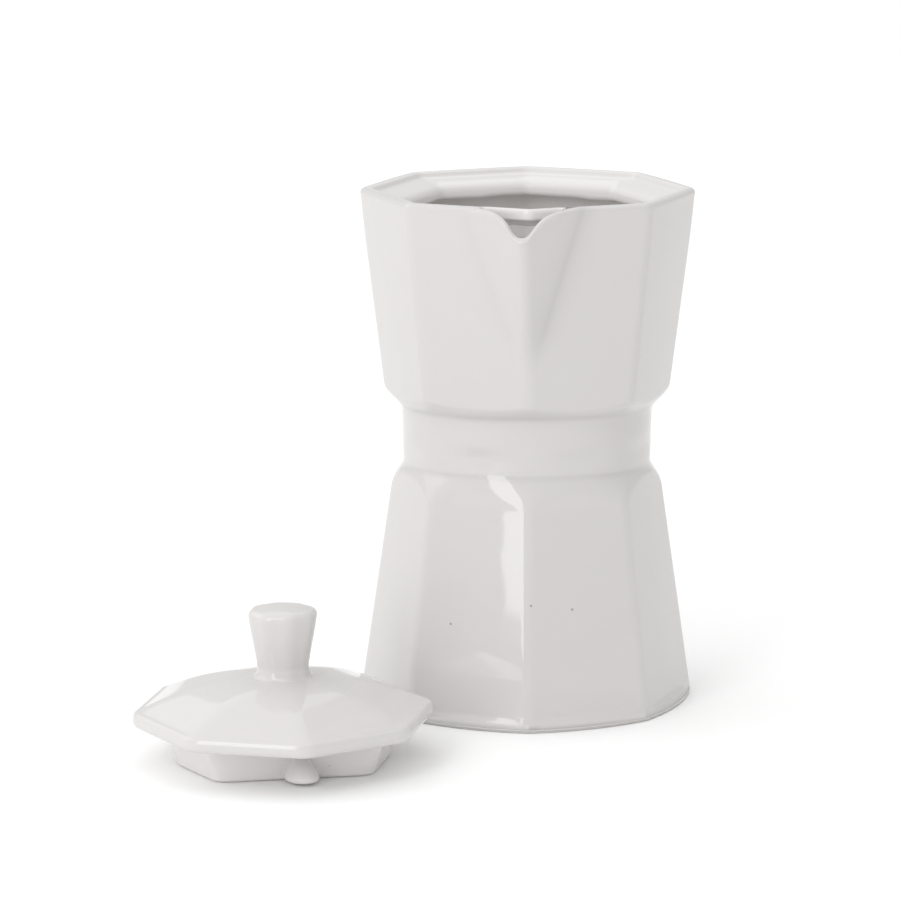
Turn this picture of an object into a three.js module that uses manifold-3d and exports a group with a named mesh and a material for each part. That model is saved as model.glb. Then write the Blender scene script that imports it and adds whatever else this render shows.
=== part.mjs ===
// Octagonal porcelain coffee pot with a pouring beak, and its loose knobbed lid lying beside it.
// Millimetres, +Z up. The origin is the centre of the pot's flat base; the beak points along -Y.
import * as THREE from 'three';
import { mergeVertices } from 'three/addons/utils/BufferGeometryUtils.js';
import Module from 'manifold-3d';

const wasm = await Module();
wasm.setup();

// ---- Driving dimensions ----------------------------------------------------------------------
const SIDES = 8;
const SECTOR = (2 * Math.PI) / SIDES;
const HALF_SECTOR = SECTOR / 2;
const FRONT = -Math.PI / 2;               // the corner that carries the beak

const pot = {
  height: 164.8,
  wall: 4.5,
  floor: 5,
  edgeRadius: 5.5,                        // rounding of the eight upright edges
  footRadius: 53.1,
  footEdge: 0.8,                          // rounding under the foot
  footRound: [0.6, 5.2],                  // the foot's sides bulge below and are flat above
  footBulge: 0.6,                         // 0 leaves the foot octagonal, 1 makes it round
  lowerFoot: 53.9,                        // sharp circumradius of the lower flare at the table
  lowerSlope: 0.1453,                     // and how much it loses per millimetre of height
  waist: 39.55,
  waistTaper: 0.026,
  waistZ: [75.7, 95.1],                   // creases below and above the waist
  shoulderSlope: [0.76, 1.2],             // how steeply the shoulders leave the waist
  frontLift: [2.6, 2.3],                  // how much higher the two creases sit at the front
  upperFoot: 46.7,                        // sharp circumradius of the upper flare at upperFootZ
  upperFootZ: 106,
  upperSlope: 0.1245,
  easeZ: 145,                             // above here the upper flare turns upright
  ease: 0.00117,
  crownEdge: 1.3,                         // rounding on top of the rim
  crownInner: 49.2,                       // circumradius of the rim's inner edge
};

const gallery = {                         // the ledge that carries the lid
  edgeRadius: 3.6,
  bridgeOuter: 50,                        // outer face, which shows behind the beak
  bridgeBottomZ: 161.4,
  crownZ: 164.5,
  recessTop: 49.1,
  recessFoot: 48.5,
  recessFootZ: 163,
  shelfZ: 161.9,
  opening: 39.2,                          // circumradius of the mouth
  openingTopZ: 160.9,
  bottomZ: 156.6,
  lipRound: 1.2,
};

const beak = {
  bottomZ: 110.5,                         // where its ridge leaves the pot's front edge
  topZ: 163.7,
  reach: 7.9,                             // how far the ridge stands out from the corner there
  skew: [-0.9, -2.4],                     // sideways place of the ridge at its root and top
  halfWidth: 17.6,                        // where its flanks meet the facets, at the top
  wall: 2.9,
  lipDepth: 7.8,                          // depth of the V in the rim
  lipWidth: 4.7,                          // half the V's width at half its depth
  lipPower: [3.1, 2.4],                   // steepness of its two sides
  lipTail: 0.06,
};

const lid = {
  at: [-75, -83],
  turn: THREE.MathUtils.degToRad(10.6),
  plate: 46.7,
  plateEdge: 5,                           // rounding of the plate's eight corners
  plateZ: [12.2, 16.8],
  plateRound: 1.5,
  domeTop: 10.4,
  domeTopZ: 26.4,
  domeCrown: 1.6,                         // how far the dome bulges above a straight cone
  flangeTop: 36.9,
  flangeBottom: 33.7,
  flangeEdge: 9,
  flangeFront: 24.1,                      // the flange's front corner is cut flat at this distance
  flangeWall: 4.4,
  cavityZ: 14.6,
  cavityTop: 9,
  cavityTopZ: 20.4,
  knobNeck: 8.3,
  knobNeckZ: 29.5,
  knobWide: 10.7,
  knobWideZ: 45.6,
  knobEdge: 3,
  knobTopZ: 48.4,
  knobTopEdge: 1.9,
};

const lug = { place: 1.9, reach: 34.9, halfWidth: 5.1, z: [0.3, 7.8] };

// Angles of one sector's samples, measured from its corner: dense round the corner.
const SECTOR_STEPS = [0, 3.2, 7, 14.5, 22.5, 30.5, 38, 41.8].map(THREE.MathUtils.degToRad);
const LID_STEPS = [0, 4.5, 13, 22.5, 32, 40.5].map(THREE.MathUtils.degToRad);

// ---- Small helpers ---------------------------------------------------------------------------
const clamp01 = (t) => Math.min(1, Math.max(0, t));
const mix = (a, b, t) => a + (b - a) * t;
const ramp = (z, [z0, z1]) => clamp01((z - z0) / (z1 - z0));
const smooth = (t) => t * t * (3 - 2 * t);
const softMin = (a, b, k) => {
  const h = Math.max(k - Math.abs(a - b), 0) / k;
  return Math.min(a, b) - (h * h * k) / 4;
};
const range = (n, f) => Array.from({ length: n }, (_, i) => f(i));

// Polar radius of a rounded octagon: R is the circumradius of the sharp shape, c its corner radius.
function octagonRadius(fromCorner, R, c) {
  const apothem = R * Math.cos(HALF_SECTOR);
  const centre = (apothem - c) / Math.cos(HALF_SECTOR);
  const tangent = Math.atan2(c * Math.sin(HALF_SECTOR), centre + c * Math.cos(HALF_SECTOR));
  const phi = Math.abs(fromCorner);
  if (phi >= tangent) return apothem / Math.cos(HALF_SECTOR - phi);
  return centre * Math.cos(phi) + Math.sqrt(c * c - (centre * Math.sin(phi)) ** 2);
}

// Signed angle from the nearest corner, for corners at FRONT plus whole sectors.
function fromCorner(theta) {
  const turns = (theta - FRONT) / SECTOR;
  return (turns - Math.round(turns)) * SECTOR;
}

// A ring of points at height z, with radius(theta).
const ring = (angles, z, radius) =>
  angles.map((t) => [radius(t) * Math.cos(t), radius(t) * Math.sin(t), typeof z === 'function' ? z(t) : z]);

// Closed surface through a stack of rings. A ring of one point closes an end; with none at the
// ends the stack closes on itself.
function skin(rings) {
  const positions = [];
  const index = [];
  const starts = rings.map((points) => {
    const start = positions.length / 3;
    points.forEach((p) => positions.push(...p));
    return start;
  });
  const open = rings[0].length > 1;
  const spans = open ? rings.length : rings.length - 1;
  for (let j = 0; j < spans; j += 1) {
    const k = (j + 1) % rings.length;
    const n = Math.max(rings[j].length, rings[k].length);
    for (let i = 0; i < n; i += 1) {
      const m = (i + 1) % n;
      const [a, b] = rings[j].length > 1 ? [starts[j] + i, starts[j] + m] : [starts[j], starts[j]];
      const [c, d] = rings[k].length > 1 ? [starts[k] + i, starts[k] + m] : [starts[k], starts[k]];
      if (a !== b) index.push(a, b, c);
      if (c !== d) index.push(b, d, c);
    }
  }
  const geometry = new THREE.BufferGeometry();
  geometry.setAttribute('position', new THREE.Float32BufferAttribute(positions, 3));
  geometry.setIndex(index);
  return geometry;
}

function toManifold(geometry) {
  const merged = mergeVertices(geometry, 1e-5);
  const vertProperties = Float32Array.from(merged.attributes.position.array);
  const triVerts = Uint32Array.from(merged.index.array);
  return new wasm.Manifold(new wasm.Mesh({ numProp: 3, vertProperties, triVerts }));
}

function toGeometry(solid) {
  const mesh = solid.getMesh();
  const geometry = new THREE.BufferGeometry();
  geometry.setAttribute('position', new THREE.BufferAttribute(mesh.vertProperties, 3));
  geometry.setIndex(new THREE.BufferAttribute(mesh.triVerts, 1));
  geometry.computeVertexNormals();
  return geometry;
}

const glaze = (name, color) =>
  new THREE.MeshStandardMaterial({ name, color, roughness: 0.16, metalness: 0 });

// ---- Pot body --------------------------------------------------------------------------------
const potAngles = (() => {
  const around = range(SIDES, (s) => SECTOR_STEPS.map((a) => FRONT + s * SECTOR + a)).flat();
  const beakSteps = [1.3, 5, 10, 18.5].map(THREE.MathUtils.degToRad);
  const extra = beakSteps.flatMap((a) => [FRONT + a, FRONT - a + 2 * Math.PI]);
  return [...around, ...extra].sort((a, b) => a - b);
})();

// Sharp circumradius of the octagon at height z: a flare below the waist and one above it.
function flare(z) {
  const [low, high] = pot.waistZ;
  if (z < (low + high) / 2) return pot.lowerFoot - pot.lowerSlope * z;
  const eased = pot.ease * Math.max(0, z - pot.easeZ) ** 2;
  return pot.upperFoot + pot.upperSlope * (z - pot.upperFootZ) - eased;
}

// Radius of the round waist and of the cones that leave it and trim the octagon into shoulders.
function roundBody(z) {
  const [low, high] = pot.waistZ;
  const core = pot.waist + pot.waistTaper * (THREE.MathUtils.clamp(z, low, high) - low);
  const below = pot.shoulderSlope[0] * Math.max(0, low - z);
  const above = pot.shoulderSlope[1] * Math.max(0, z - high);
  return core + below + above;
}

// How far a point of nominal height z rises, because both creases climb towards the front.
function lift(theta, z) {
  const [low, high] = pot.waistZ;
  const front = ((1 + Math.cos(theta - FRONT)) / 2) ** 2;
  const nearLow = Math.exp(-(((z - low) / 5) ** 2));
  const nearHigh = Math.exp(-(((z - high) / 5.5) ** 2));
  return (nearLow * pot.frontLift[0] + nearHigh * pot.frontLift[1]) * front;
}

// Polar radius of the beak's two flanks at angle theta, moved inwards by inset; 0 away from it.
function flank(theta, z, inset) {
  const grown = (z - beak.bottomZ) / (beak.topZ - beak.bottomZ);
  const [dx, dy] = [Math.cos(theta), Math.sin(theta)];
  if (grown <= 0 || -dy < Math.cos(SECTOR * 0.55)) return 0;
  const corner = flare(z);
  const tip = [mix(...beak.skew, grown), -(corner + beak.reach * grown)];
  const reaches = [-1, 1].map((side) => {
    const x = tip[0] + side * beak.halfWidth * grown;
    const root = [x, -corner + Math.abs(x) * Math.tan(HALF_SECTOR)];
    const normal = [(root[1] - tip[1]) * side, -(root[0] - tip[0]) * side];
    const size = Math.hypot(...normal);
    const facing = (normal[0] * dx + normal[1] * dy) / size;
    return ((normal[0] * tip[0] + normal[1] * tip[1]) / size - inset) / Math.max(facing, 0.15);
  });
  return softMin(...reaches, 2.6);
}

function outerRadius(theta, z) {
  const octagon = octagonRadius(fromCorner(theta), flare(z), pot.edgeRadius);
  const trimmed = softMin(octagon, roundBody(z), 1.6);
  const bulge = pot.footBulge * (1 - smooth(ramp(z, pot.footRound)));
  const rounded = mix(trimmed, pot.footRadius, bulge);
  return Math.max(rounded, flank(theta, z, 0));
}

function innerRadius(theta, z) {
  const nearRim = smooth(ramp(z, [150, 160]));
  const wall = mix(pot.wall, flare(pot.height) - pot.crownInner, nearRim);
  const octagon = octagonRadius(fromCorner(theta), flare(z) - wall, pot.edgeRadius);
  return Math.max(Math.min(octagon, roundBody(z) - pot.wall), flank(theta, z, beak.wall));
}

function cup() {
  const { height, footEdge, crownEdge, floor } = pot;
  const [low, high] = pot.waistZ;
  const outerHeights = [
    footEdge, 2.2, 3.4, pot.footRound[1], 12, 30, 50, 66, 69, 71, 72.8, 74.6,
    low, low + 1.5, (low + high) / 2, high - 1, high, 96.4, 97.7, 99, 100.6, 103,
    beak.bottomZ, 125, 136, 147, 154, 158, 161, height - crownEdge,
  ];
  const innerHeights = [height - 1, 160, 156, 148, 138, 126, 116, 103, 99, 95, 76, 72, 68, 45, 22, 9];
  const rings = [
    [[0, 0, 0]],
    ring(potAngles, 0, (t) => outerRadius(t, 0) - footEdge),
    ...outerHeights.map((z) => ring(potAngles, (t) => z + lift(t, z), (t) => outerRadius(t, z))),
    ring(potAngles, height, (t) => outerRadius(t, height) - crownEdge),
    ring(potAngles, height, (t) => innerRadius(t, height) + 0.8),
    ...innerHeights.map((z) => ring(potAngles, z, (t) => innerRadius(t, z))),
    ring(potAngles, floor, (t) => innerRadius(t, 9) - 4),
    [[0, 0, floor]],
  ];
  return toManifold(skin(rings));
}

// The ledge: an octagonal band with a raised outer rim, closed on itself.
function galleryRing() {
  const g = gallery;
  const profile = [
    [g.bridgeOuter, g.bridgeBottomZ],
    [g.bridgeOuter, g.crownZ - g.lipRound],
    [g.bridgeOuter - g.lipRound / 2, g.crownZ],
    [g.recessTop, g.crownZ],
    [g.recessFoot, g.recessFootZ],
    [g.opening + 1.6, g.shelfZ],
    [g.opening, g.openingTopZ],
    [g.opening, g.bottomZ + g.lipRound],
    [g.opening + g.lipRound, g.bottomZ],
  ];
  const sections = profile.map(([R, z]) =>
    ring(potAngles, z, (t) => octagonRadius(fromCorner(t), R, g.edgeRadius)));
  return toManifold(skin(sections));
}

// Height of the rim at a sideways place x: full height, with a V at the beak.
function lipHeight(x) {
  const off = x - beak.skew[1];
  const power = beak.lipPower[off < 0 ? 0 : 1];
  const bell = 1 / (1 + (Math.abs(off) / beak.lipWidth) ** power);
  return pot.height - beak.lipDepth * clamp01((bell - beak.lipTail) / (1 - beak.lipTail));
}

// The V cut through the rim above the beak, as a block with the lip's outline below.
function notch() {
  const clear = 0.05;                     // keeps the V's ends just clear of the rim's top
  const reach = 15;
  const steps = 26;
  const xs = range(steps + 1, (i) => mix(-reach, reach, i / steps) + beak.skew[1]);
  const top = pot.height + 5;
  const outline = new THREE.Shape();
  outline.moveTo(xs[0], top);
  xs.forEach((x) => outline.lineTo(x, lipHeight(x) + clear));
  outline.lineTo(xs[steps], top);
  outline.closePath();
  const depth = 40;
  const block = new THREE.ExtrudeGeometry(outline, { depth, bevelEnabled: false, steps: 1 });
  block.deleteAttribute('normal');
  block.deleteAttribute('uv');
  block.rotateX(Math.PI / 2);             // the outline's height becomes Z, its depth runs to -Y
  block.translate(0, -depth, 0);
  return toManifold(mergeVertices(block, 1e-4));
}

function potBody() {
  const geometry = toGeometry(cup().subtract(notch()).add(galleryRing()));
  const mesh = new THREE.Mesh(geometry, glaze('pot_glaze', 0xe9e7e4));
  mesh.name = 'pot_body';
  return mesh;
}

// ---- Lid -------------------------------------------------------------------------------------
const lidAngles = range(SIDES, (s) => LID_STEPS.map((a) => FRONT + s * SECTOR + a)).flat();

const lidRing = (z, R, c) => ring(lidAngles, z, (t) => octagonRadius(fromCorner(t), R, c));

// Polar radius of the flange's outline: an octagon with its front corner cut off flat.
function flangeRadius(theta, R, c, front) {
  const facing = Math.cos(theta - FRONT);
  const octagon = octagonRadius(fromCorner(theta), R, c);
  return facing < 0.5 ? octagon : softMin(octagon, front / facing, 1.5);
}

function lidTop() {
  const l = lid;
  const [plateLow, plateHigh] = l.plateZ;
  const dome = [0.25, 0.5, 0.75].map((t) => [
    mix(plateHigh, l.domeTopZ, t) + 4 * l.domeCrown * t * (1 - t),
    mix(l.plate - l.plateRound, l.domeTop, t),
    mix(l.plateEdge, l.knobEdge, t),
  ]);
  return [
    [plateLow, l.plate - l.plateRound, l.plateEdge],
    [plateLow + l.plateRound, l.plate, l.plateEdge],
    [plateHigh - l.plateRound, l.plate, l.plateEdge],
    [plateHigh, l.plate - l.plateRound, l.plateEdge],
    ...dome,
    [l.domeTopZ, l.domeTop, l.knobEdge],
    [l.domeTopZ + 1.4, l.knobNeck + 0.5, l.knobEdge],
    [l.knobNeckZ, l.knobNeck, l.knobEdge],
    [mix(l.knobNeckZ, l.knobWideZ, 0.5), mix(l.knobNeck, l.knobWide, 0.42), l.knobEdge],
    [l.knobWideZ - 2.5, l.knobWide - 0.2, l.knobEdge],
    [l.knobWideZ, l.knobWide - 0.15, l.knobEdge],
    [l.knobTopZ - 1, l.knobWide - l.knobTopEdge, l.knobEdge],
  ].map(([z, R, c]) => lidRing(z, R, c));
}

function lidShell() {
  const l = lid;
  const [plateLow] = l.plateZ;
  const edge = 0.9;
  const outline = (z, R, inset) =>
    ring(lidAngles, z, (t) => flangeRadius(t, R, l.flangeEdge - inset / 2, l.flangeFront - inset));
  const inner = l.flangeBottom - l.flangeWall;
  const rings = [
    [[0, 0, l.cavityTopZ]],
    lidRing(l.cavityTopZ - 0.3, l.cavityTop, l.knobEdge),
    outline(l.cavityZ, inner, l.flangeWall),
    outline(edge, inner, l.flangeWall),
    outline(0, inner + edge, l.flangeWall - edge),
    outline(0, l.flangeBottom - edge, edge),
    outline(edge, l.flangeBottom, 0),
    outline(plateLow, l.flangeTop, -0.4),
    ...lidTop(),
    [[0, 0, l.knobTopZ]],
  ];
  return toManifold(skin(rings));
}

// The lug: a rounded nub near the middle of the flange's flat front, flattened where it joins.
function lugSolid() {
  const [low, high] = lug.z;
  const root = lid.flangeFront - 1;
  const nub = new THREE.SphereGeometry(1, 16, 10);
  nub.deleteAttribute('normal');
  nub.deleteAttribute('uv');
  nub.scale(lug.halfWidth, lug.reach - root, (high - low) / 2);
  const place = nub.attributes.position;
  range(place.count, (i) => place.setY(i, Math.min(place.getY(i), 1) - root));
  nub.translate(lug.place, 0, (low + high) / 2);
  return toManifold(mergeVertices(nub, 1e-4));
}

function lidMesh() {
  const geometry = toGeometry(lidShell().add(lugSolid()));
  const mesh = new THREE.Mesh(geometry, glaze('lid_glaze', 0xebe9e6));
  mesh.name = 'lid';
  mesh.position.set(lid.at[0], lid.at[1], 0);
  mesh.rotation.z = lid.turn;
  return mesh;
}

// ---- Assembly --------------------------------------------------------------------------------
const coffeePot = new THREE.Group();
coffeePot.add(potBody(), lidMesh());

export default coffeePot;
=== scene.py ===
"""Glazed porcelain coffee pot and its loose lid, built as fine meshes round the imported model."""
import math

import bmesh
import bpy
import numpy as np
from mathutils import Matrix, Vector


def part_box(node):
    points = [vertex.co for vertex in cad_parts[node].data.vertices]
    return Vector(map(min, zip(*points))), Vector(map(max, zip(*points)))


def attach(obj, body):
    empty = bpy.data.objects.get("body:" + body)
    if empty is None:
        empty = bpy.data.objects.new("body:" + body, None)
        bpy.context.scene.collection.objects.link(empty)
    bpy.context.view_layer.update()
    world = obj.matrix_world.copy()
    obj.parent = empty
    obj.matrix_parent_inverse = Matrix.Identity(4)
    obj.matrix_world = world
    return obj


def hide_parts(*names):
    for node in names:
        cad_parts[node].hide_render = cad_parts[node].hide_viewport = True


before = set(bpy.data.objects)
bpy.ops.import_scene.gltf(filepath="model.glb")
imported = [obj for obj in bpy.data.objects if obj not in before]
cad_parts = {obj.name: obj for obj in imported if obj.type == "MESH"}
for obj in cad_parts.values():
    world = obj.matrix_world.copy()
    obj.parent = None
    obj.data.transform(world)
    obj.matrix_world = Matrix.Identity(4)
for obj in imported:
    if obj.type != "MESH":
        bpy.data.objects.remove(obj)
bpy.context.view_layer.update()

MM = 0.001
SIDES = 8
SECTOR = 2 * math.pi / SIDES
HALF_SECTOR = SECTOR / 2
FRONT = -math.pi / 2          # the corner that carries the beak, and the lid's lug

# ---- Pot sizes, in millimetres ---------------------------------------------------------------
POT_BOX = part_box("pot_body")
HEIGHT = POT_BOX[1][2] / MM
WALL = 4.5
FLOOR = 5.0
EDGE_RADIUS = 5.5             # rounding of the eight upright edges
FACET_CROWN = 0.50            # how far a facet bulges at its middle
FOOT_RADIUS = 53.0            # of the circle that the foot's sides bulge towards
FOOT_EDGE = 0.8               # rounding under the foot
FOOT_ROUND = (0.6, 5.2)       # the foot's sides bulge below and are flat above
FOOT_BULGE = 0.6              # 0 leaves the foot octagonal, 1 makes it round
LOWER_FOOT = 53.9             # sharp circumradius of the lower flare at the table
LOWER_SLOPE = 0.1453          # and how much it loses per millimetre of height
UPPER_FOOT = 46.7             # the same for the upper flare, at UPPER_Z
UPPER_Z = 106.0
UPPER_SLOPE = 0.1245
EASE_Z = 145.0                # above here the upper flare turns upright
EASE = 0.00117                # by this much per square millimetre
WAIST_RADIUS = 39.55          # at the lower crease
WAIST_TAPER = 0.026           # and how much it gains per millimetre of height
WAIST_Z = (75.7, 95.1)        # creases below and above the waist
WAIST_MIDDLE = 86.0
SHOULDER_SLOPE = (0.76, 1.2)  # how steeply the shoulders leave the waist
SHOULDER_SOFT = (1.6, 2.4)    # rounding where the shoulders meet the facets
CREASE_SOFT = (0.55, 0.8)     # rounding of the two creases
FRONT_LIFT = (2.6, 2.3)       # how much higher the two creases sit at the front
LIFT_SPAN = (5.0, 5.5)        # and over what height the lift dies away
INNER_SOFT = 3.0              # rounding where the inner shoulders meet the inner facets

# The gallery that carries the lid, as sharp circumradii and heights.
CROWN_MID = 50.7              # middle of the rim's top
CROWN_EDGE = 1.7              # width of the rim's outer rounding
RECESS = 49.2                 # wall of the recess that centres the lid
RECESS_FOOT_Z = 163.1
SHELF_Z = 161.7
SHELF_BEND = 44.0             # the shelf starts to fall towards the mouth here
MOUTH = 39.2
MOUTH_Z = 160.5
RING_BOTTOM_Z = 156.6         # underside of the ring round the mouth
RING_BACK_RISE = 0.5          # how much higher it sits at the back
RING_BEAK_RISE = 1.5          # and by the beak
RING_WAVE = 0.25
GALLERY_EDGE = 4.0            # rounding of the gallery's eight corners
ROOT_FLARE_Z = 158.0          # the ring's underside meets the wall as wide as it is here,
ROOT_Z = 158.6                # and at this height
ROOT_INSET = 0.3
BRIDGE_FACE = 50.0            # outer face of the bridge behind the beak
BRIDGE_BOTTOM_Z = 161.0

# The beak: a wedge with two flanks and a rounded ridge.
BEAK_Z = 110.5                # where it leaves the front edge
BEAK_TOP_Z = 163.7
BEAK_HALF_WIDTH = 17.6
BEAK_REACH = 7.9              # how far the ridge stands out from the corner at the lip
BEAK_SKEW = (-0.9, -2.4)      # sideways place of the ridge at its root and at the lip
BEAK_WALL = 2.9
BEAK_RIDGE = 4.0              # rounding of the ridge
BEAK_SOFT = (1.2, 1.5)        # rounding where the flanks meet the facets, outside and inside
BEAK_REGION = math.radians(25)
LIP_DEPTH = 7.8
LIP_WIDTH = 4.7
LIP_POWER = (3.1, 2.4)        # steepness of the V's two sides
LIP_TAIL = 0.035
LIP_ROUND = 1.6               # rounding over the rim
GAP_Z = 160.0                 # the pouring gap's width is taken here
GAP_CLOSED = 0.5              # and the gap ends where it would be narrower than this
GAP_FADE = 4.0                # columns over which it opens
GAP_WALL_Z = 157.0            # the beak's inner face runs down to here in the gap


def smoothstep(t):
    """0 to 1 with flat ends."""
    t = np.clip(t, 0.0, 1.0)
    return t * t * (3 - 2 * t)


def mix(a, b, t):
    """a where t is 0 and b where it is 1."""
    return a + (b - a) * t


def soft_min(a, b, k):
    """The smaller of a and b, rounded where they cross within k."""
    h = np.maximum(k - np.abs(a - b), 0) / k
    return np.minimum(a, b) - h * h * k / 4


def soft_max(a, b, k):
    """The larger of a and b, rounded in the same way."""
    return -soft_min(-a, -b, k)


def soft_plus(t, k):
    """Zero below 0 and t above it, rounded over k."""
    return k * np.logaddexp(0.0, t / k)


def from_corner(theta):
    """Signed angle from the nearest of the octagon's corners."""
    turns = (theta - FRONT) / SECTOR
    return (turns - np.round(turns)) * SECTOR


def octagon(theta, radius, edge):
    """Polar radius of an octagon with sharp circumradius radius and corners rounded by edge."""
    phi = np.abs(from_corner(theta))
    apothem = radius * math.cos(HALF_SECTOR)
    centre = (apothem - edge) / math.cos(HALF_SECTOR)
    tangent = np.arctan2(edge * math.sin(HALF_SECTOR), centre + edge * math.cos(HALF_SECTOR))
    flat = apothem / np.cos(HALF_SECTOR - phi)
    arc = centre * np.cos(phi) + np.sqrt(np.maximum(edge ** 2 - (centre * np.sin(phi)) ** 2, 0))
    return np.where(phi >= tangent, flat, arc)


def middle(theta):
    """0 at the octagon's corners and 1 at the middle of each facet, as a shallow arc."""
    s = np.abs(from_corner(theta)) / HALF_SECTOR
    return 1 - (1 - s * s / (s + 0.1) * 1.1) ** 2


def frontness(theta):
    """1 at the front, 0 at the back."""
    return (1 + np.cos(theta - FRONT)) / 2


# ---- Mesh helpers ----------------------------------------------------------------------------
def polar(theta, radius, z):
    """One row of points, in metres."""
    radius = np.broadcast_to(radius, theta.shape)
    z = np.broadcast_to(z, theta.shape)
    return np.stack([radius * np.cos(theta), radius * np.sin(theta), z], axis=1) * MM


class Grid:
    """Collects rows of vertices and the faces between them."""

    def __init__(self):
        self.points = []
        self.faces = []
        self.count = 0

    def row(self, points):
        """Adds one row and gives its vertex numbers."""
        self.points.append(points)
        numbers = list(range(self.count, self.count + len(points)))
        self.count += len(points)
        return numbers

    def rows(self, many):
        return [self.row(points) for points in many]

    def join(self, rows, closed=True):
        """Quads between successive rows of vertex numbers."""
        columns = len(rows[0])
        for a, b in zip(rows[:-1], rows[1:]):
            for i in range(columns if closed else columns - 1):
                j = (i + 1) % columns
                self.faces.append((a[i], a[j], b[j], b[i]))

    def cap(self, row, centre):
        """A fan of triangles from a row to one point."""
        middle_point = self.row(np.array([centre]) * MM)[0]
        self.faces += [(row[i], row[(i + 1) % len(row)], middle_point) for i in range(len(row))]

    def mesh(self, name):
        """The finished mesh, with rows that coincide welded and its faces turned outwards."""
        data = bpy.data.meshes.new(name)
        data.from_pydata(np.concatenate(self.points).tolist(), [], self.faces)
        work = bmesh.new()
        work.from_mesh(data)
        bmesh.ops.remove_doubles(work, verts=work.verts, dist=1e-6)
        bmesh.ops.dissolve_degenerate(work, edges=work.edges, dist=1e-7)
        bmesh.ops.recalc_face_normals(work, faces=work.faces)
        for face in work.faces:
            face.smooth = True
        work.to_mesh(data)
        work.free()
        return data


def fine_angles(half_steps, extra=()):
    """Sorted column angles: half_steps in degrees either side of every corner, with extra ones."""
    steps = np.radians(np.array(half_steps))
    around = [FRONT + side * SECTOR + sign * s
              for side in range(SIDES) for s in steps for sign in (-1, 1)]
    lowest = FRONT - HALF_SECTOR
    turned = [(a - lowest) % (2 * math.pi) + lowest for a in list(around) + list(extra)]
    return np.unique(np.round(turned, 7))


# ---- Pot surface -----------------------------------------------------------------------------
CORNER_STEPS = (0, .5, 1, 1.5, 2, 2.5, 3.1, 4, 5.5, 8, 11, 14.5, 18.5, 22.5)   # degrees
BEAK_SPAN = 20.7              # degrees either side of the front, and the spacing there
BEAK_STEP = 0.6


def pot_angles():
    """Columns round the pot, with an even fine spacing across the beak."""
    theta = fine_angles(CORNER_STEPS)
    away = theta[np.abs(from_front(theta)) > math.radians(BEAK_SPAN + BEAK_STEP / 2)]
    across = FRONT + np.radians(np.arange(-BEAK_SPAN, BEAK_SPAN + 0.01, BEAK_STEP))
    return np.sort(np.concatenate([away, across]))


def from_front(theta):
    """Signed angle from the beak."""
    return np.arctan2(np.sin(theta - FRONT), np.cos(theta - FRONT))


def at_beak(theta):
    return np.abs(from_front(theta)) < math.radians(BEAK_SPAN)


def flare(z):
    """Sharp circumradius of the octagon at height z."""
    z = np.asarray(z, dtype=float)
    lower = LOWER_FOOT - LOWER_SLOPE * z
    upper = UPPER_FOOT + UPPER_SLOPE * (z - UPPER_Z) - EASE * np.maximum(z - EASE_Z, 0) ** 2
    return np.where(z < WAIST_MIDDLE, lower, upper)


def waist(z):
    """Radius of the round body: the waist itself and the cones that leave it."""
    core = WAIST_RADIUS + WAIST_TAPER * (np.clip(z, *WAIST_Z) - WAIST_Z[0])
    below = SHOULDER_SLOPE[0] * soft_plus(WAIST_Z[0] - z, CREASE_SOFT[0])
    above = SHOULDER_SLOPE[1] * soft_plus(z - WAIST_Z[1], CREASE_SOFT[1])
    return core + below + above


def lift(theta, z):
    """How far a point of nominal height z rises, because both creases climb towards the front."""
    low = np.exp(-((z - WAIST_Z[0]) / LIFT_SPAN[0]) ** 2)
    high = np.exp(-((z - WAIST_Z[1]) / LIFT_SPAN[1]) ** 2)
    return (low * FRONT_LIFT[0] + high * FRONT_LIFT[1]) * frontness(theta) ** 2


def wedge(theta, z, inset):
    """Polar radius of the beak's two flanks, moved inwards by inset; 0 away from the beak."""
    z = np.broadcast_to(z, theta.shape).astype(float)
    grown = np.clip((z - BEAK_Z) / (BEAK_TOP_Z - BEAK_Z), 0, 1.1)
    corner = flare(z)
    tip_x = mix(*BEAK_SKEW, grown)
    tip_y = -(corner + BEAK_REACH * grown)
    half = np.maximum(BEAK_HALF_WIDTH * grown, 0.05)
    reach = []
    for side in (-1, 1):
        root_x = tip_x + side * half
        root_y = -corner + np.abs(root_x) * math.tan(HALF_SECTOR)
        nx, ny = (root_y - tip_y) * side, -(root_x - tip_x) * side
        size = np.hypot(nx, ny)
        nx, ny = nx / size, ny / size
        facing = nx * np.cos(theta) + ny * np.sin(theta)
        distance = nx * tip_x + ny * tip_y - inset
        reach.append(np.where(facing > 0.15, distance / np.maximum(facing, 0.15), 1e3))
    near = (np.abs(from_front(theta)) < BEAK_REGION) & (grown > 0)
    return np.where(near, soft_min(reach[0], reach[1], BEAK_RIDGE), 0)


def pot_outside(theta, z):
    """Polar radius of the pot's outer face at nominal height z."""
    body = octagon(theta, flare(z), EDGE_RADIUS) + FACET_CROWN * middle(theta)
    trimmed = soft_min(body, waist(z), SHOULDER_SOFT[0 if z < WAIST_MIDDLE else 1])
    round_foot = smoothstep((FOOT_ROUND[1] - z) / (FOOT_ROUND[1] - FOOT_ROUND[0]))
    return mix(trimmed, FOOT_RADIUS, round_foot * FOOT_BULGE)


def outside(theta, z):
    """The same with the beak; z may differ from column to column."""
    if np.ndim(z) == 0:
        body = pot_outside(theta, float(z))
    else:
        body = octagon(theta, flare(z), EDGE_RADIUS) + FACET_CROWN * middle(theta)
    return soft_max(body, wedge(theta, z, 0), BEAK_SOFT[0])


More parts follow.
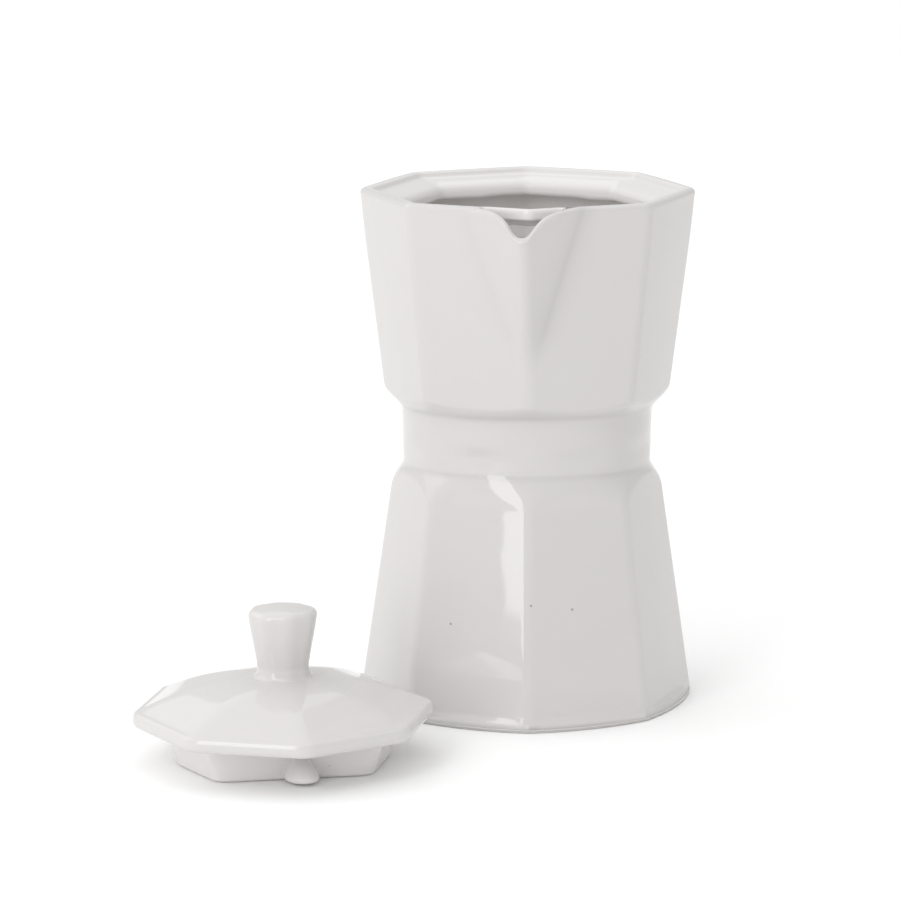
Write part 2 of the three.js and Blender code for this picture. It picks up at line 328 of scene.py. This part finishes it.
def inside(theta, z):
    """Polar radius of the pot's inner face."""
    z = np.broadcast_to(z, theta.shape).astype(float)
    body = octagon(theta, flare(z) - WALL, EDGE_RADIUS)
    trimmed = soft_min(body, waist(z) - WALL, INNER_SOFT)
    return soft_max(trimmed, wedge(theta, z, BEAK_WALL), BEAK_SOFT[1])


def lip_height(x):
    """Height of the rim above a sideways place: full height, with a V at the beak."""
    offset = x - BEAK_SKEW[1]
    power = np.where(offset < 0, *LIP_POWER)
    bell = 1 / (1 + (np.abs(offset) / LIP_WIDTH) ** power)
    return HEIGHT - LIP_DEPTH * np.maximum((bell - LIP_TAIL) / (1 - LIP_TAIL), 0)


def rim_heights(theta):
    """Height of the rim in every column."""
    z = np.full(theta.shape, HEIGHT)
    for _ in range(6):        # the beak leans out, so the place and the height settle together
        z = np.where(at_beak(theta), lip_height(outside(theta, z) * np.cos(theta)), HEIGHT)
    return z


# Nominal heights of the rows, closest together where the wall bends. The first three outer rows
# go down again, so the skin is folded on itself there, within 0.7 mm at the foot.
OUTER_LEVELS = (
    list(np.linspace(1.3, FOOT_ROUND[0], 3)) + list(np.linspace(3.0, FOOT_ROUND[1], 9))
    + list(np.linspace(13, 62, 12)) + list(np.linspace(65, 79.5, 22)) + list(np.linspace(81, 91, 6))
    + list(np.linspace(92, 104, 22)) + list(np.linspace(106.5, 146, 18)) + list(np.linspace(148, 162, 8))
)
INNER_LEVELS = (
    list(np.linspace(155.5, 106, 18)) + list(np.linspace(104, 92, 9)) + list(np.linspace(88, 80, 3))
    + list(np.linspace(78, 68, 8)) + list(np.linspace(62, 10, 10))
)
BLEND_FROM = 140.0            # rows above here close up under the V


def base_rows(theta):
    """The flat foot's rounded edge, from the middle of the base outwards."""
    turns = np.linspace(0, math.pi / 2, 6)[:-1]
    outer = pot_outside(theta, FOOT_EDGE)
    foot = [polar(theta, outer - FOOT_EDGE + FOOT_EDGE * math.sin(t), FOOT_EDGE * (1 - math.cos(t)))
            for t in turns]
    return [polar(theta, outer * share, 0.0) for share in (0.4, 0.8, 0.92)] + foot


def wall_rows(theta, rim):
    """The outer wall, from the foot to the start of the rim's rounding."""
    top = rim - LIP_ROUND
    rows = []
    for z in OUTER_LEVELS:
        if z <= BLEND_FROM:
            rows.append(polar(theta, outside(theta, z), z + lift(theta, z)))
            continue
        share = (z - BLEND_FROM) / (HEIGHT - LIP_ROUND - BLEND_FROM)
        level = BLEND_FROM + share * (top - BLEND_FROM)
        rows.append(polar(theta, outside(theta, level), level))
    return rows


def ring_bottom(theta):
    """Height of the ring's underside: higher at the back and by the beak, and a little wavy."""
    back = smoothstep((np.abs(from_front(theta + 0.11)) - 2.62) / 0.22)
    near_beak = smoothstep((1.2 - np.abs(from_front(theta))) / 0.6)
    wave = RING_WAVE * np.sin(3 * theta + 1.0)
    return RING_BOTTOM_Z + RING_BACK_RISE * back + RING_BEAK_RISE * near_beak + wave


def gallery_rows(theta, opened):
    """The rim's inner edge, the recess, the shelf, the mouth's ring and its underside."""
    bottom = ring_bottom(theta)
    crown = [
        (RECESS + 0.75, HEIGHT - 0.05), (RECESS + 0.25, HEIGHT - 0.4), (RECESS - 0.05, HEIGHT - 0.95),
    ]
    shelf = [
        (RECESS - 0.35, RECESS_FOOT_Z + 0.3), (RECESS - 1.1, RECESS_FOOT_Z),
        (RECESS - 3, RECESS_FOOT_Z - 0.4), (SHELF_BEND, mix(RECESS_FOOT_Z, SHELF_Z, 0.6)),
        (42.0, SHELF_Z), (40.9, SHELF_Z - 0.3), (40.0, SHELF_Z - 0.75),
        (39.45, MOUTH_Z - 0.2), (MOUTH, MOUTH_Z - 1.0),
    ]
    rows = []
    for r, z in crown + shelf:
        drawn_in = 0.9 * opened * min(max((r - SHELF_BEND) / 4, 0), 1)
        rows.append(polar(theta, octagon(theta, r, GALLERY_EDGE) - drawn_in, z))
    for share in (0.3, 0.55, 0.75):
        z = mix(MOUTH_Z - 1.0, bottom + 0.9, share)
        rows.append(polar(theta, octagon(theta, MOUTH, GALLERY_EDGE), z))
    for r, up in ((MOUTH + 0.1, 0.8), (MOUTH + 0.45, 0.3), (MOUTH + 1.1, 0.0), (MOUTH + 2.2, 0.1)):
        rows.append(polar(theta, octagon(theta, r, GALLERY_EDGE), bottom + up))
    end = underside_end(theta, opened)
    start = rows[-1]
    rows += [start + (end - start) * share for share in (0.25, 0.5, 0.75, 1.0)]
    return rows


def root_radius(theta):
    """Polar radius at which the ring's underside meets the pot's wall."""
    return octagon(theta, flare(ROOT_FLARE_Z) - WALL - ROOT_INSET, EDGE_RADIUS)


def underside_end(theta, opened):
    """Where the ring's underside meets the wall, or the bridge's lower edge behind the beak."""
    bridge_r = octagon(theta, BRIDGE_FACE - 0.9, GALLERY_EDGE)
    return polar(theta, mix(root_radius(theta), bridge_r, opened), mix(ROOT_Z, BRIDGE_BOTTOM_Z, opened))


def pouring_gap(theta):
    """The columns of the gap between bridge and beak, and how open it is in every column."""
    width = inside(theta, GAP_Z) - octagon(theta, BRIDGE_FACE, GALLERY_EDGE)
    slit = np.flatnonzero(at_beak(theta) & (width > GAP_CLOSED))
    first, last = slit.min(), slit.max()
    steps = np.arange(len(theta))
    return slice(first, last + 1), smoothstep(np.minimum(steps - first, last - steps) / GAP_FADE)


def lip_rows(theta, rim, opened):
    """Over the rim: a half round above the gap, and elsewhere a rounded edge with a flatter top."""
    top = rim - LIP_ROUND
    outer_r, inner_r = outside(theta, rim), np.maximum(inside(theta, rim), 0)
    crown_r = octagon(theta, CROWN_MID, GALLERY_EDGE)
    edge_share = 0.6
    rows = []
    for turn in np.linspace(0, 1, 13):
        a = turn * math.pi
        half_r = mix(outer_r, inner_r, (1 - math.cos(a)) / 2)
        half_z = top + LIP_ROUND * math.sin(a)
        corner = min(turn / edge_share, 1.0) * math.pi / 2
        flat_r = outer_r - CROWN_EDGE * (1 - math.cos(corner))
        flat_r = mix(flat_r, crown_r, max(0.0, (turn - edge_share) / (1 - edge_share)))
        flat_z = top + LIP_ROUND * math.sin(corner)
        rows.append(polar(theta, mix(flat_r, half_r, opened), mix(flat_z, half_z, opened)))
    return rows


def bridge_rows(theta, opened):
    """The rounded top edge of the bridge's outer face; away from the beak, the rim's top."""
    crown_r = octagon(theta, CROWN_MID, GALLERY_EDGE)
    rows = []
    for inset, down in ((0, 1.35), (0.12, 0.75), (0.4, 0.3), (0.75, 0.08)):
        r = mix(crown_r, octagon(theta, BRIDGE_FACE - inset, GALLERY_EDGE), opened)
        rows.append(polar(theta, r, mix(HEIGHT, HEIGHT - down, opened)))
    return rows


def inner_rows(theta, opened):
    """The inner wall, from under the gallery down to the floor."""
    start_z = mix(ROOT_Z, GAP_WALL_Z, opened)
    start = polar(theta, mix(root_radius(theta), inside(theta, start_z), opened), start_z)
    wall = [polar(theta, inside(theta, z), z) for z in INNER_LEVELS]
    foot = ((0.8, 8.0), (2.2, 6.3), (4.5, 5.4), (8, FLOOR))
    corner = [polar(theta, inside(theta, INNER_LEVELS[-1]) - inset, z) for inset, z in foot]
    return [start] + wall + corner + [polar(theta, 18.0, FLOOR)]


def gap_sides(theta, opened, bridge, beak):
    """Rows down the two faces of the gap; each of bridge and beak is its top and its bottom row."""
    face = polar(theta, octagon(theta, BRIDGE_FACE, GALLERY_EDGE), 0.0)
    weight = opened[:, None]
    bridge_side, beak_side = [], []
    for s in np.linspace(0, 1, 9)[1:-1]:
        straight = mix(*bridge, s)
        proud = face.copy()
        proud[:, 2] = straight[:, 2]
        bridge_side.append(mix(straight, mix(straight, proud, min(1.0, (1 - s) * 6)), weight))
        level = mix(beak[0][:, 2], beak[1][:, 2], s)
        curved = polar(theta, inside(theta, level / MM), level / MM)
        beak_side.append(mix(straight, curved, weight))
    return bridge_side, beak_side


def pot_mesh():
    """The whole pot as one closed skin, with the pouring gap between the bridge and the beak."""
    theta = pot_angles()
    rim = rim_heights(theta)
    gap, opened = pouring_gap(theta)
    lip = lip_rows(theta, rim, opened)
    ring = bridge_rows(theta, opened) + gallery_rows(theta, opened)
    inner = inner_rows(theta, opened)
    bridge_side, beak_side = gap_sides(
        theta[gap], opened[gap], (ring[0][gap], ring[-1][gap]), (lip[-1][gap], inner[0][gap]))

    grid = Grid()
    outer = grid.rows(base_rows(theta) + wall_rows(theta, rim))
    lip = grid.rows(lip)
    grid.join(outer + lip)
    grid.cap(outer[0], (0, 0, 0))
    ring = grid.rows(ring)
    grid.join(ring)
    grid.join([ring[0][gap]] + grid.rows(bridge_side) + [ring[-1][gap]], closed=False)
    inner = grid.rows(inner)
    grid.join(inner)
    grid.cap(inner[-1], (0, 0, FLOOR))
    grid.join([lip[-1][gap]] + grid.rows(beak_side) + [inner[0][gap]], closed=False)
    return grid.mesh("pot")


# ---- Lid, in its own frame: axis up through the origin, lug towards the front ------------------
LID_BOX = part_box("lid")
LID_AT = tuple((LID_BOX[0][k] + LID_BOX[1][k]) / 2 for k in (0, 1))
LID_TURN = math.radians(10.6)
LID_STEPS = (0, .9, 1.9, 3, 4.2, 5.6, 7.4, 9.6, 12.3, 15.5, 19, 22.5)          # degrees
PLATE = 46.8
PLATE_EDGE = 8.0              # rounding of the plate's eight corners
PLATE_Z = (12.2, 16.9)
PLATE_ROUND = 1.8             # rounding of its rim
DOME_TOP = (10.0, 26.3)       # radius and height, as for the knob's places below
DOME_CROWN = 1.8              # how far the dome bulges above a straight cone
FLANGE_TOP = 36.9
FLANGE_FOOT = 33.7
FLANGE_EDGE = 9.0
FLANGE_FRONT = 24.1           # the flange's front corner is cut off flat at this distance
FLANGE_LEAN = 0.4             # how much the flat front gains towards the plate
FLANGE_TOP_Z = 11.6
FLANGE_WALL = 4.4
FOOT_SOFT = 1.5               # rounding under the flange
CAVITY_Z = 14.4
CAVITY_TOP_Z = 20.0
KNOB_NECK = (8.3, 29.5)
KNOB_WIDE = (11.0, 45.4)
KNOB_TOP_Z = 48.25
KNOB_CORNER = 1.9             # rounding round the knob's nearly flat top
KNOB_TWIST = math.radians(4)
KNOB_EDGE = 5.4               # rounding of the knob's eight edges
LUG_PLACE = 1.4               # how far right of the flat front's middle it sits
LUG_HALF_WIDTH = (5.2, 2.6)   # wide at its foot, narrowing upwards
LUG_REACH = 10.8              # how far it stands out of the flat front
LUG_TOP_Z = 9.6
LUG_FOOT = 2.4                # rounding under the lug


def flange(theta, radius, edge, front):
    """Polar radius of the flange's outline: an octagon with its front corner cut off flat."""
    facing = np.cos(from_front(theta))
    corners = octagon(theta, radius, edge)
    flat = front / np.maximum(facing, 0.4)
    return np.where(facing > 0.4, soft_min(corners, flat, 2.2), corners)


def flange_with_lug(theta, radius, edge, front, z):
    """The same outline with the rounded lug standing out of its flat front."""
    off = from_front(theta)
    upright = np.cos(np.clip(z / LUG_TOP_Z, 0, 1) * math.pi / 2) ** 0.9
    foot = np.sqrt(1 - (1 - np.clip(z / LUG_FOOT, 0.02, 1)) ** 2)
    half = mix(*LUG_HALF_WIDTH, smoothstep((z - 1.5) / (LUG_TOP_Z - 2.5))) * (0.75 + 0.25 * foot)
    across = np.clip(np.abs(front * np.tan(np.clip(off, -1, 1)) - LUG_PLACE) / half, 0, 1)
    side = np.maximum(1 - across ** 2.2, 0) ** 0.75
    proud = LUG_REACH * upright * foot * side
    return flange(theta, radius, edge, front) + proud / np.cos(np.clip(off, -1, 1))


def knob_rows(theta):
    """The knob from its fillet on the dome to the middle of its top."""
    (dome_r, dome_z), (neck_r, neck_z), (wide_r, wide_z) = DOME_TOP, KNOB_NECK, KNOB_WIDE
    profile = []
    for a in np.linspace(0, 1, 7)[1:] * math.pi / 2:
        profile.append((mix(dome_r, neck_r, math.sin(a)), mix(dome_z, neck_z, 1 - math.cos(a))))
    for t in np.linspace(0, 1, 15)[1:]:
        profile.append((mix(neck_r, wide_r, 1.12 * t ** 1.15 - 0.12 * t ** 5), mix(neck_z, wide_z, t)))
    for a in np.linspace(0, math.radians(78), 9)[1:]:
        profile.append((wide_r - KNOB_CORNER * (1 - math.cos(a)), wide_z + KNOB_CORNER * math.sin(a)))
    rim_r, rim_z = profile[-1]
    for t in np.linspace(1, 0, 9)[1:-1]:
        profile.append((rim_r * t, KNOB_TOP_Z - (KNOB_TOP_Z - rim_z) * t ** 2.4))
    rows = []
    for r, z in profile:
        edge = max(min(KNOB_EDGE, r * 0.6), r * 0.3)
        rows.append(polar(theta, octagon(theta - KNOB_TWIST, r, edge), z))
    return rows


def plate_rows(theta):
    """The plate's rounded edge and the shallow dome."""
    low, high = PLATE_Z
    below = (39.0, 42.5, PLATE - PLATE_ROUND - 0.4)
    rows = [polar(theta, octagon(theta, r, PLATE_EDGE), low) for r in below]
    squareness = 0.85
    for t in np.linspace(-1, 1, 15):
        a = t * math.pi / 2
        bulge = math.copysign(abs(math.sin(a)) ** squareness, t)
        r = PLATE - PLATE_ROUND * (1 - abs(math.cos(a)) ** squareness)
        z = (low + high) / 2 + (high - low) / 2 * bulge
        rows.append(polar(theta, octagon(theta, r, PLATE_EDGE), z))
    for t in np.linspace(0, 1, 16)[1:]:
        r = mix(PLATE - PLATE_ROUND, DOME_TOP[0], t)
        z = mix(high, DOME_TOP[1], t) + 4 * DOME_CROWN * t * (1 - t)
        edge = r * mix(PLATE_EDGE / PLATE, KNOB_EDGE / DOME_TOP[0], t ** 3)
        rows.append(polar(theta, octagon(theta, r, edge), z))
    return rows


def flange_rows(theta):
    """From the middle of the cavity, down the flange's inner face, round its foot and up outside."""
    inner = (FLANGE_FOOT - FLANGE_WALL, FLANGE_EDGE - 2, FLANGE_FRONT - FLANGE_WALL)
    outer = (FLANGE_FOOT, FLANGE_EDGE, FLANGE_FRONT)
    inner_face = flange(theta, *inner)
    rows = []
    for t in np.linspace(0, 1, 9):
        rows.append(polar(theta, inner_face * mix(0.25, 0.95, t), mix(CAVITY_TOP_Z, CAVITY_Z, t ** 1.4)))
    for share, down in ((0.985, 0.5), (1.0, 1.4)):
        rows.append(polar(theta, inner_face * share, CAVITY_Z - down))
    for t in np.linspace(0, 1, 8):
        rows.append(polar(theta, inner_face, mix(CAVITY_Z - 2.4, FOOT_SOFT, t)))
    squareness = 0.7
    for a in np.linspace(0, 1, 15)[1:-1] * math.pi:
        share = (1 - math.copysign(abs(math.cos(a)) ** squareness, math.cos(a))) / 2
        z = FOOT_SOFT * (1 - math.sin(a) ** squareness)
        outline = [mix(i, o, share) for i, o in zip(inner, outer)]
        r = flange_with_lug(theta, *outline, z) if share > 0.75 else flange(theta, *outline)
        rows.append(polar(theta, r, z))
    for t in np.linspace(0, 1, 17):
        z = mix(FOOT_SOFT, FLANGE_TOP_Z, t)
        r, front = mix(FLANGE_FOOT, FLANGE_TOP, t), FLANGE_FRONT + FLANGE_LEAN * t
        rows.append(polar(theta, flange_with_lug(theta, r, FLANGE_EDGE, front, z), z))
    for out, up in ((0.15, 0), (0.5, 0.35), (1.3, 0)):
        r = flange(theta, FLANGE_TOP + out, FLANGE_EDGE, FLANGE_FRONT + FLANGE_LEAN + out)
        rows.append(polar(theta, r, PLATE_Z[0] + up))
    return rows


def lid_mesh():
    """The whole lid as one closed skin."""
    lug_steps = FRONT + np.radians(np.arange(-14, 14.1, 0.5))
    theta = fine_angles(LID_STEPS, lug_steps)
    grid = Grid()
    rows = grid.rows(flange_rows(theta) + plate_rows(theta) + knob_rows(theta))
    grid.join(rows)
    grid.cap(rows[0], (0, 0, CAVITY_TOP_Z))
    grid.cap(rows[-1], (0, 0, KNOB_TOP_Z + 0.05))
    return grid.mesh("lid")


# ---- Material --------------------------------------------------------------------------------
POT_TINT = (0.615, 0.603, 0.594)
LID_TINT = (0.640, 0.628, 0.619)
ROUGHNESS = 0.045
IOR = 1.52

# Each multiplies the tint where its mask is 1.
DRIFT_SHADE = (0.975, 0.962, 0.962)
# Painted shade: darkens the creases and the sides of the beak.
CREASE_SHADE_TINT = (0.80, 0.793, 0.785)
PINHOLE_SHADE = (0.55, 0.52, 0.48)
# Painted fill light: lightens the pot's inner faces and the lid's flange.
FILL_LIGHT_TINT = (1.38, 1.38, 1.38)

# Repeats per metre and detail of the noises: the colour's drift, and two waves in the surface.
DRIFT_NOISE = (22.0, 3.0)
WAVE_NOISE = (45.0, 1.0)
RIPPLE_NOISE = (160.0, 1.0)
RIPPLE_SHARE = 0.12
WAVE_STRENGTH = 0.22
WAVE_DEPTH = 0.0005

PINHOLES = ((-24.2, -39.6, 32.1), (13.8, -43.2, 37.6), (0.9, -47.7, 39.8), (-60.2, -105.1, 4.0))
PINHOLE_RADIUS = 0.40

CREASE_SHADE = (0.35, 0.55)    # how much painted shade darkens the lower and the upper crease
CREASE_WIDTH = 0.9
CREASE_UP = 0.3               # the painted shade sits a little above each crease
BEAK_SHADE = 0.8               # and how much painted shade beside the beak
BEAK_SHADE_LEFT = 0.18         # share of that on the beak's left
FLANGE_FILL_LIGHT = 0.5             # how much of the painted fill light the lid's flange gets
ABOVE_SHELF = 0.45            # and the gallery's upper faces


def painted_crease_shade(points):
    """How much painted shade each point of the pot gets: in the creases and beside the beak."""
    x, y, z = points.T / MM
    theta, radius = np.arctan2(y, x), np.hypot(x, y)
    creases = [pool * np.exp(-((z - crease - lift(theta, crease) - CREASE_UP) / CREASE_WIDTH) ** 2)
               for pool, crease in zip(CREASE_SHADE, WAIST_Z)]
    creases = np.where(radius > WAIST_RADIUS - 2.0, sum(creases), 0)
    body = octagon(theta, flare(np.maximum(z, WAIST_MIDDLE)), EDGE_RADIUS)
    beside = body - wedge(theta, z, 0)
    started = smoothstep((z - BEAK_Z - 3) / 16) * np.where(x > BEAK_SKEW[1], 1.0, BEAK_SHADE_LEFT)
    near = (radius > body - 1.5) & (np.abs(from_front(theta)) < 0.5)
    beak = np.where(near, np.exp(-np.abs(beside - 0.2) / 0.9), 0)
    return np.clip(creases + BEAK_SHADE * started * beak, 0, 1)


def painted_fill_light(points):
    """Painted fill light: 1 on the pot's inner surfaces, which are painted lighter, and 0 on its outer
    ones.
    """
    x, y, z = points.T / MM
    theta, radius = np.arctan2(y, x), np.hypot(x, y)
    trimmed = np.minimum(octagon(theta, flare(z), EDGE_RADIUS), waist(z))
    depth = np.maximum(trimmed, wedge(theta, z, 0)) - radius
    start = mix(3.5, 1.6, smoothstep((z - 100) / 20))
    height = mix(1, ABOVE_SHELF, smoothstep((z - 159) / 2.5))
    return smoothstep((depth - start) / 0.8) * height * (z > 3)


def painted_flange_light(points):
    """How much painted fill light brightens the lid's flange and underside, as on the pot's inside."""
    return FLANGE_FILL_LIGHT * smoothstep((PLATE_Z[0] - points[:, 2] / MM) / 0.8)


def noise(nodes, links, place, scale, detail):
    """A smooth random pattern; scale is in repeats per metre."""
    pattern = nodes.new("ShaderNodeTexNoise")
    pattern.inputs["Scale"].default_value = scale
    pattern.inputs["Detail"].default_value = detail
    links.new(place.outputs["Object"], pattern.inputs["Vector"])
    return pattern.outputs["Fac"]


def maths(nodes, links, operation, first, second):
    """One arithmetic step between a socket and a socket or a number."""
    step = nodes.new("ShaderNodeMath")
    step.operation = operation
    links.new(first, step.inputs[0])
    if isinstance(second, (int, float)):
        step.inputs[1].default_value = second
    else:
        links.new(second, step.inputs[1])
    return step.outputs[0]


def pinholes(nodes, links, place):
    """The few tiny dark pits in the glaze."""
    found = None
    for spot in PINHOLES:
        away = nodes.new("ShaderNodeVectorMath")
        away.operation = "DISTANCE"
        links.new(place.outputs["Object"], away.inputs[0])
        away.inputs[1].default_value = Vector(spot) * MM
        near = maths(nodes, links, "LESS_THAN", away.outputs["Value"], PINHOLE_RADIUS * MM)
        found = maths(nodes, links, "MAXIMUM", found, near) if found else near
    return found


def attribute(nodes, name):
    """The socket of a mask kept in the mesh; it is 0 where the mesh has none of that name."""
    reader = nodes.new("ShaderNodeAttribute")
    reader.attribute_name = name
    return reader.outputs["Fac"]


def glaze(name, tint):
    """White porcelain under a clear glaze: colour drift, painted shade in the creases and beside the
    beak, painted light on the inner faces, waviness and pinholes.
    """
    material = bpy.data.materials.new(name)
    material.use_nodes = True
    nodes, links = material.node_tree.nodes, material.node_tree.links
    shader = nodes["Principled BSDF"]
    shader.inputs["Roughness"].default_value = ROUGHNESS
    shader.inputs["IOR"].default_value = IOR
    place = nodes.new("ShaderNodeTexCoord")
    layers = (
        (DRIFT_SHADE, noise(nodes, links, place, *DRIFT_NOISE)),
        # painted shade in the creases and beside the beak
        (CREASE_SHADE_TINT, attribute(nodes, "painted_crease_shade")),
        (PINHOLE_SHADE, pinholes(nodes, links, place)),
        # painted fill light on the pot's inside and under the lid's plate
        (FILL_LIGHT_TINT, attribute(nodes, "painted_fill_light")),
    )
    colour = None
    for shade, mask in layers:
        layer = nodes.new("ShaderNodeMix")
        layer.data_type = "RGBA"
        layer.inputs["A"].default_value = (*tint, 1)
        layer.inputs["B"].default_value = (*(t * k for t, k in zip(tint, shade)), 1)
        if colour:
            links.new(colour, layer.inputs["A"])
        links.new(mask, layer.inputs["Factor"])
        colour = layer.outputs["Result"]
    links.new(colour, shader.inputs["Base Color"])
    ripple = maths(nodes, links, "MULTIPLY", noise(nodes, links, place, *RIPPLE_NOISE), RIPPLE_SHARE)
    bump = nodes.new("ShaderNodeBump")
    bump.inputs["Strength"].default_value = WAVE_STRENGTH
    bump.inputs["Distance"].default_value = WAVE_DEPTH
    wave = maths(nodes, links, "ADD", noise(nodes, links, place, *WAVE_NOISE), ripple)
    links.new(wave, bump.inputs["Height"])
    links.new(bump.outputs["Normal"], shader.inputs["Normal"])
    return material


def vertex_points(mesh):
    points = np.empty(len(mesh.vertices) * 3)
    mesh.vertices.foreach_get("co", points)
    return points.reshape(-1, 3)


def add_mask(mesh, name, values):
    mesh.attributes.new(name, "FLOAT", "POINT").data.foreach_set("value", values)


def add_piece(mesh, name, node, body, material):
    """A finished mesh that stands for a CAD node and rides on its body."""
    piece = bpy.data.objects.new(name, mesh)
    bpy.context.scene.collection.objects.link(piece)
    piece.data.materials.append(material)
    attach(piece, body)
    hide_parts(node)


def build_object():
    pot_glaze = glaze("pot_glaze", POT_TINT)
    lid_glaze = glaze("lid_glaze", LID_TINT)

    mesh = pot_mesh()
    points = vertex_points(mesh)
    add_mask(mesh, "painted_crease_shade", painted_crease_shade(points))
    add_mask(mesh, "painted_fill_light", painted_fill_light(points))
    add_piece(mesh, "pot_porcelain", "pot_body", "pot", pot_glaze)

    mesh = lid_mesh()
    x, y, z = vertex_points(mesh).T
    c, s = math.cos(LID_TURN), math.sin(LID_TURN)
    points = np.stack([x * c - y * s + LID_AT[0], x * s + y * c + LID_AT[1], z], axis=1)
    mesh.vertices.foreach_set("co", points.ravel())
    mesh.update()
    add_mask(mesh, "painted_fill_light", painted_flange_light(points))
    add_piece(mesh, "lid_porcelain", "lid", "lid", lid_glaze)


# ---- Floor, light and camera, in metres -------------------------------------------------------
FLOOR_HALF = 30.0
FLOOR_WHITE = 0.995
FLOOR_ROUGHNESS = 0.9
ROOM_BRIGHTNESS = 0.74
OVERHEAD_BRIGHTNESS = 0.92
OVERHEAD_SPREAD = math.radians(100)
OVERHEAD_LEAN = (math.radians(-8), math.radians(-14), 0)
SOFTBOXES = (                 # name, place, target, size and brightness
    ("key", (-0.885, -1.425, 0.80), (0, 0, 0.05), (0.52, 1.60), 3.3),
    ("left", (-1.6, 0.3, 0.75), (0, 0, 0.08), (1.0, 1.2), 0.5),
)
CAMERA_AT = (-0.0175, -1.3499, 0.34866)
CAMERA_TURN = (math.radians(90 - 11.261), 0, math.radians(0.303))
CAMERA_LENS = 171.54          # on a sensor 36 mm wide


def add_floor():
    """A plain white table top."""
    mesh = bpy.data.meshes.new("floor")
    half = FLOOR_HALF
    corners = [(-half, -half, 0), (half, -half, 0), (half, half, 0), (-half, half, 0)]
    mesh.from_pydata(corners, [], [(0, 1, 2, 3)])
    floor = bpy.data.objects.new("floor", mesh)
    bpy.context.scene.collection.objects.link(floor)
    material = bpy.data.materials.new("floor")
    material.use_nodes = True
    shader = material.node_tree.nodes["Principled BSDF"]
    shader.inputs["Base Color"].default_value = (FLOOR_WHITE, FLOOR_WHITE, FLOOR_WHITE, 1)
    shader.inputs["Roughness"].default_value = FLOOR_ROUGHNESS
    mesh.materials.append(material)


def add_softbox(name, place, target, size, brightness):
    """A rectangular softbox whose face has the given brightness, whatever its size."""
    data = bpy.data.lights.new(name, "AREA")
    data.shape = "RECTANGLE"
    data.size, data.size_y = size
    data.energy = brightness * math.pi * size[0] * size[1]
    light = bpy.data.objects.new(name, data)
    bpy.context.scene.collection.objects.link(light)
    light.location = place
    light.rotation_euler = (Vector(target) - Vector(place)).to_track_quat("-Z", "Y").to_euler()


def add_studio():
    """A bright even room, a wide soft light overhead and two softboxes."""
    bpy.context.scene.view_settings.view_transform = "Standard"
    world = bpy.data.worlds.new("studio")
    bpy.context.scene.world = world
    world.use_nodes = True
    background = world.node_tree.nodes["Background"]
    background.inputs["Color"].default_value = (1, 1, 1, 1)
    background.inputs["Strength"].default_value = ROOM_BRIGHTNESS
    overhead = bpy.data.lights.new("overhead", "SUN")
    overhead.energy = OVERHEAD_BRIGHTNESS
    overhead.angle = OVERHEAD_SPREAD
    light = bpy.data.objects.new("overhead", overhead)
    bpy.context.scene.collection.objects.link(light)
    light.rotation_euler = OVERHEAD_LEAN
    for softbox in SOFTBOXES:
        add_softbox(*softbox)


def add_camera():
    """Eye 1.35 m in front of the pot and a little above it, looking slightly down."""
    data = bpy.data.cameras.new("camera")
    data.lens = CAMERA_LENS
    data.sensor_width = 36
    camera = bpy.data.objects.new("camera", data)
    bpy.context.scene.collection.objects.link(camera)
    camera.location = CAMERA_AT
    camera.rotation_euler = CAMERA_TURN
    bpy.context.scene.camera = camera


add_camera()
build_object()
add_floor()
add_studio()
